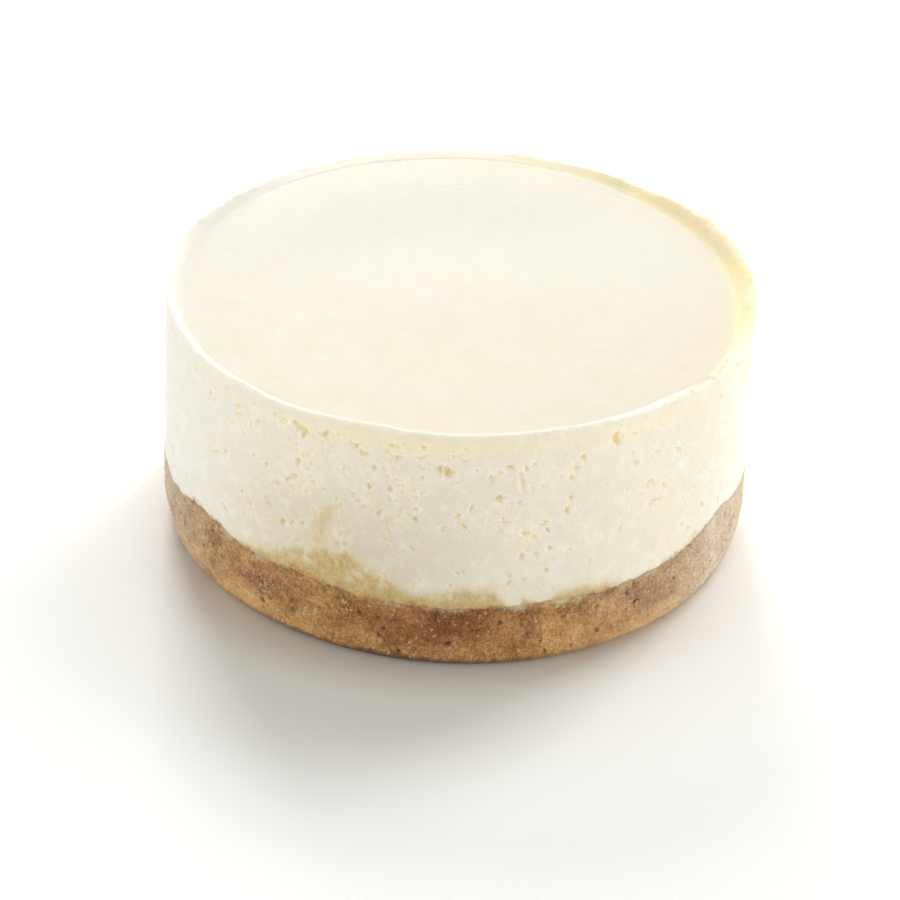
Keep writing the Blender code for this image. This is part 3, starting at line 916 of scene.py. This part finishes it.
def soaked_colour(sheet):
    """The translucent tan of filling soaked by the base, streaked upwards."""
    streak = sheet.noise(0.0016, 3, 0.7, offset=0.4, squash=0.45)
    grain = sheet.noise(0.0005, 2, 0.6, offset=0.1)
    streak = sheet.spread(streak, 0.30, 0.70, 0.0, 0.55)
    value = sheet.math("ADD", streak, sheet.spread(grain, 0.3, 0.7, 0.0, 0.45))
    deep = sheet.spread(sheet.mark("soak"), 0.35, 1.0)
    pale = sheet.mix(value, (236, 226, 190), (214, 197, 148))
    return sheet.mix(deep, pale, sheet.mix(value, (224, 203, 152), (184, 154, 92)))


def crumb_share(sheet):
    """1 in the base, 0 in the filling, with a grainy change between them."""
    grain = sheet.noise(0.0005, 3, 0.7, offset=0.5)
    edge = sheet.math("ADD", sheet.mark("above_seam"), sheet.spread(grain, 0.3, 0.7, -0.45, 0.45))
    return sheet.spread(edge, 0.55, -0.45)


def side_colour(sheet, fine, speck):
    """The ivory of the side, with curds and with specks where it is torn, painted whiter at its left and
    right and greyer at the front left as light and shade, with painted highlights beside the torn pits.
    """
    broad = sheet.noise(0.012, 3)
    curd = sheet.noise(0.0024, 4, 0.65, offset=0.8)
    side = sheet.mix(broad, (233, 226, 207), (240, 233, 218))
    # Painted light: whiter at the left and right of the side
    side = sheet.mix(sheet.times(sheet.mark("painted_side_light"), 0.85), side, (240, 239, 237))
    # Painted shade: greyer at the front left
    side = sheet.mix(sheet.mark("painted_side_shade"), side, (222, 213, 193))
    side = sheet.mix(sheet.spread(fine, 0.48, 0.75, 0, 0.35), side, (235, 225, 198))
    side = sheet.mix(sheet.spread(curd, 0.50, 0.75, 0, 0.5), side, (250, 247, 240))
    pitted = sheet.spread(sheet.mark("torn"), 0.0, 1.0, 0.20, 0.75)
    pitted = sheet.times(pitted, sheet.spread(speck, 0.44, 0.32))
    side = sheet.mix(pitted, side, (214, 202, 160))
    # Painted highlights beside the torn pits
    torn_highlight = sheet.times(sheet.mark("torn"), sheet.spread(speck, 0.52, 0.66, 0.0, 0.8))
    return sheet.mix(torn_highlight, side, (253, 251, 246))


def top_colour(sheet, mottle):
    """The mottled skin of the top, warmer near its rim, partly its own tone and partly painted warm shade of
    the rim.
    """
    top = sheet.mix(sheet.spread(mottle, 0.30, 0.75), (222, 215, 200), (218, 209, 189))
    top = sheet.mix(sheet.mark("behind"), top, sheet.mix(mottle, (224, 220, 210), (222, 216, 202)))
    # Warmer near the rim: partly own tone, partly painted warm shade of the rim
    return sheet.mix(sheet.times(sheet.mark("warm_tone_and_rim_shade"), 0.55), top, (236, 221, 190))


def rim_colour(sheet, colour, mottle):
    """Adds the yellowish band as a painted glow under the lip, the golden rim with a painted lighter gold on
    its shaded inner wall, and the white edge of the lip as a painted highlight.
    """
    # Painted glow under the lip
    colour = sheet.mix(sheet.times(sheet.mark("painted_lip_glow"), 0.60), colour, (250, 238, 194))
    share = sheet.times(sheet.mark("gold"), sheet.spread(mottle, 0.25, 0.65, 0.55, 1.0))
    # Painted light: lighter gold on the rim's shaded inner wall
    golden = sheet.mix(sheet.mark("painted_light_gold"), (248, 227, 174), (255, 241, 194))
    colour = sheet.mix(share, colour, golden)
    # Painted highlight on the edge of the lip
    return sheet.mix(sheet.mark("crest"), colour, (255, 252, 240))


def pore_colour(sheet, colour, speck):
    """Adds the tint of the pores, partly their tan and partly painted shade in the pits, and amber in some,
    which also paints shade into the gaps between the lip's lumps.
    """
    # Partly the pores' tan, partly painted shade in the pits
    pore_tone_and_shade = sheet.math("ADD", sheet.mark("pore_tone_and_shade"), sheet.spread(speck, 0.3, 0.7, -0.35, 0.35))
    pore_tone_and_shade = sheet.times(sheet.spread(pore_tone_and_shade, 0.15, 0.75), 0.84)
    colour = sheet.mix(pore_tone_and_shade, colour, (206, 191, 141))
    # Amber pores, and painted shade in the gaps between the lip's lumps
    amber = sheet.times(sheet.mark("amber"), sheet.spread(speck, 0.3, 0.7, 0.30, 0.85))
    return sheet.mix(amber, colour, (240, 219, 140))


def cream_material():
    sheet = NodeSheet("cream_cheese")
    fine = sheet.noise(0.0011, 3, 0.6)
    speck = sheet.noise(0.00045, 3, 0.7, offset=0.7)
    mottle = sheet.noise(0.0042, 4, 0.6, offset=0.3)
    colour = sheet.mix(sheet.mark("skin"), side_colour(sheet, fine, speck), top_colour(sheet, mottle))
    colour = rim_colour(sheet, colour, mottle)
    colour = pore_colour(sheet, colour, speck)
    colour = sheet.mix(sheet.mark("soak"), colour, soaked_colour(sheet))
    colour = sheet.mix(crumb_share(sheet), colour, crumb_colour(sheet))
    specks = sheet.cells(0.00045)
    bump = sheet.math("ADD", sheet.times(fine, 0.6), sheet.times(specks, 0.4))
    bump = sheet.math("ADD", bump, sheet.times(speck, 0.6))
    bump = sheet.times(bump, sheet.spread(sheet.mark("skin"), 0.0, 1.0, 1.0, 0.45))
    sheet.bump(bump, 0.00016, 0.8)
    sheet.set(Base_Color=colour, Roughness=sheet.spread(fine, 0.3, 0.7, 0.50, 0.66), Specular_IOR_Level=0.30)
    sheet.shader.subsurface_method = "BURLEY"
    sheet.set(Subsurface_Weight=0.6, Subsurface_Radius=(1.0, 0.80, 0.55), Subsurface_Scale=0.0012)
    return sheet.material


def biscuit_material():
    sheet = NodeSheet("baked_crumb")
    colour = sheet.mix(crumb_share(sheet), soaked_colour(sheet), crumb_colour(sheet))
    grain = sheet.noise(0.00035, 4, 0.7)
    sheet.bump(grain, 0.00045, 1.0)
    sheet.set(Base_Color=colour, Roughness=sheet.spread(grain, 0.3, 0.7, 0.55, 0.85), Specular_IOR_Level=0.35)
    sheet.set(Sheen_Weight=0.15, Sheen_Roughness=0.4, Sheen_Tint=(1.0, 0.88, 0.70, 1.0))
    return sheet.material


def floor_material():
    sheet = NodeSheet("pale_floor")
    tone = sheet.noise(0.4, 2)
    colour = sheet.mix(tone, (247, 246, 243), (250, 249, 247))
    sheet.set(Base_Color=colour, Roughness=0.6, Specular_IOR_Level=0.1)
    return sheet.material


def crumb_shapes(places, draw):
    """The points and faces of many small uneven crumbs. Each place is a point and a size."""
    shape = bmesh.new()
    bmesh.ops.create_icosphere(shape, subdivisions=2, radius=1.0)
    corners = np.array([vertex.co[:] for vertex in shape.verts])
    triangles = np.array([[vertex.index for vertex in face.verts] for face in shape.faces])
    shape.free()
    points, faces = [], []
    for index, (place, size) in enumerate(places):
        turn = np.linalg.qr(draw.normal(size=(3, 3)))[0]
        turn[:, 0] *= np.sign(np.linalg.det(turn))
        stretch = draw.uniform(0.6, 1.0, 3) * size / 2
        bulge = 1 + 0.35 * smooth_noise(corners * 1.3 + 10.0 * index, 1.0, SEED + 80)[:, None]
        points.append((corners * bulge * stretch) @ turn.T + place)
        faces += (triangles + index * len(corners)).tolist()
    return points, faces


def grain_places():
    """Where each grain sits along the foot or on the side of the base, its size, and how pale it is. The
    grains along the foot are paler, partly as painted rim light.
    """
    draw = np.random.default_rng(SEED + 1)
    places, pale = [], []
    for index in range(FOOT_GRAINS):
        bearing = draw.uniform(-180, 180)
        size = draw.uniform(0.22, 0.55) * MM
        height = draw.uniform(0.9, 1.6) * MM
        if index % 2:
            height = draw.uniform(1.0 * MM, 0.95 * float(edge_height(bearing)))
        radius = float(base_side_radius(height)) - 0.08 * MM + foot_spread(bearing, height)
        places.append((cylinder_points(np.array(bearing), radius, height), size))
        # The grains along the foot are paler, partly as painted rim light
        pale.append(draw.uniform(0.1, 0.5) if index % 2 else draw.uniform(0.3, 1.0))
    for bearing, height in SEEN_FLAKES:
        for _ in range(GRAINS_IN_A_FLAKE):
            size = draw.uniform(0.25, 0.60) * MM
            here = (height + draw.normal(0, 0.45)) * MM
            radius = float(base_side_radius(here)) - 0.02 * MM + foot_spread(bearing, here)
            places.append((cylinder_points(np.array(bearing + draw.normal(0, 0.7)), radius, here), size))
            pale.append(draw.uniform(0.6, 1.0))
    return places, pale


def make_foot_grains(material):
    """Pale grains that stand out along the foot and on the side of the base, as one joined mesh. Those along
    the foot are paler partly as painted rim light.
    """
    places, pale = grain_places()
    draw = np.random.default_rng(SEED + len(places))
    points, faces = crumb_shapes(places, draw)
    owners = np.repeat(np.arange(len(places)), len(points[0]))
    marks = {
        "above_seam": np.full(len(owners), -9.0),
        "tone": draw.uniform(0.4, 1.0, len(places))[owners],
        "fleck": np.array(pale)[owners],
        "height": np.ones(len(owners)),
        "golden": np.ones(len(owners)),
    }
    piece = mesh_object("foot_grains", np.concatenate(points), faces, material, marks)
    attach(piece, "root")


def make_floor():
    bpy.ops.mesh.primitive_plane_add(size=FLOOR_SIZE, location=(0, 0, 0))
    floor = bpy.context.object
    floor.name = "floor"
    floor.data.materials.append(floor_material())


def add_softbox(name, azimuth, elevation, distance, width, height, power):
    """An area light that faces the cake from an azimuth counted from +X towards +Y."""
    light = bpy.data.lights.new(name, "AREA")
    light.shape = "RECTANGLE"
    light.size = width
    light.size_y = height
    light.energy = power
    holder = bpy.data.objects.new(name, light)
    across, up = math.radians(azimuth), math.radians(elevation)
    target = Vector((0, 0, CAKE_CENTRE_HEIGHT))
    direction = Vector((math.cos(up) * math.cos(across), math.cos(up) * math.sin(across), math.sin(up)))
    holder.location = target + distance * direction
    holder.rotation_euler = direction.to_track_quat("Z", "Y").to_euler()
    bpy.context.scene.collection.objects.link(holder)


def make_lights():
    """Softboxes behind and above, a low card at each side and in front, and an even surround."""
    world = bpy.data.worlds.new("studio")
    world.use_nodes = True
    background = world.node_tree.nodes["Background"]
    background.inputs["Color"].default_value = SURROUND_COLOUR
    background.inputs["Strength"].default_value = SURROUND_STRENGTH
    bpy.context.scene.world = world
    for name, settings in SOFTBOXES.items():
        add_softbox(name, *settings)


def make_camera():
    """Looks down at the cake from the front, aimed so that the cake's middle falls on its pixel."""
    camera = bpy.data.cameras.new("camera")
    camera.sensor_width = SENSOR_WIDTH
    camera.lens = FOCAL_PIXELS * SENSOR_WIDTH / IMAGE_SIZE
    camera.clip_end = 20
    holder = bpy.data.objects.new("camera", camera)
    elevation, roll = math.radians(CAMERA_ELEVATION), math.radians(CAMERA_ROLL)
    back = Vector((0, -math.cos(elevation), math.sin(elevation)))
    place = Vector((0, 0, CAKE_CENTRE_HEIGHT)) + CAMERA_DISTANCE * back
    right = Vector((1, 0, 0))
    upward = back.cross(right)
    facing = Matrix((right, upward, back)).transposed()
    rolled = facing @ Matrix.Rotation(roll, 3, "Z")
    middle = IMAGE_SIZE / 2
    aside = (CAKE_CENTRE_PIXEL[0] - middle) / FOCAL_PIXELS
    above = (middle - CAKE_CENTRE_PIXEL[1]) / FOCAL_PIXELS
    aim = Vector((0, 0, -1)).rotation_difference(Vector((aside, above, -1)))
    holder.matrix_world = Matrix.Translation(place) @ (rolled @ aim.inverted().to_matrix()).to_4x4()
    bpy.context.scene.collection.objects.link(holder)
    bpy.context.scene.camera = holder


def main():
    make_camera()
    biscuit = biscuit_material()
    make_filling(cream_material())
    make_base(biscuit)
    make_foot_grains(biscuit)
    make_floor()
    make_lights()
    bpy.context.scene.view_settings.view_transform = "Standard"


main()
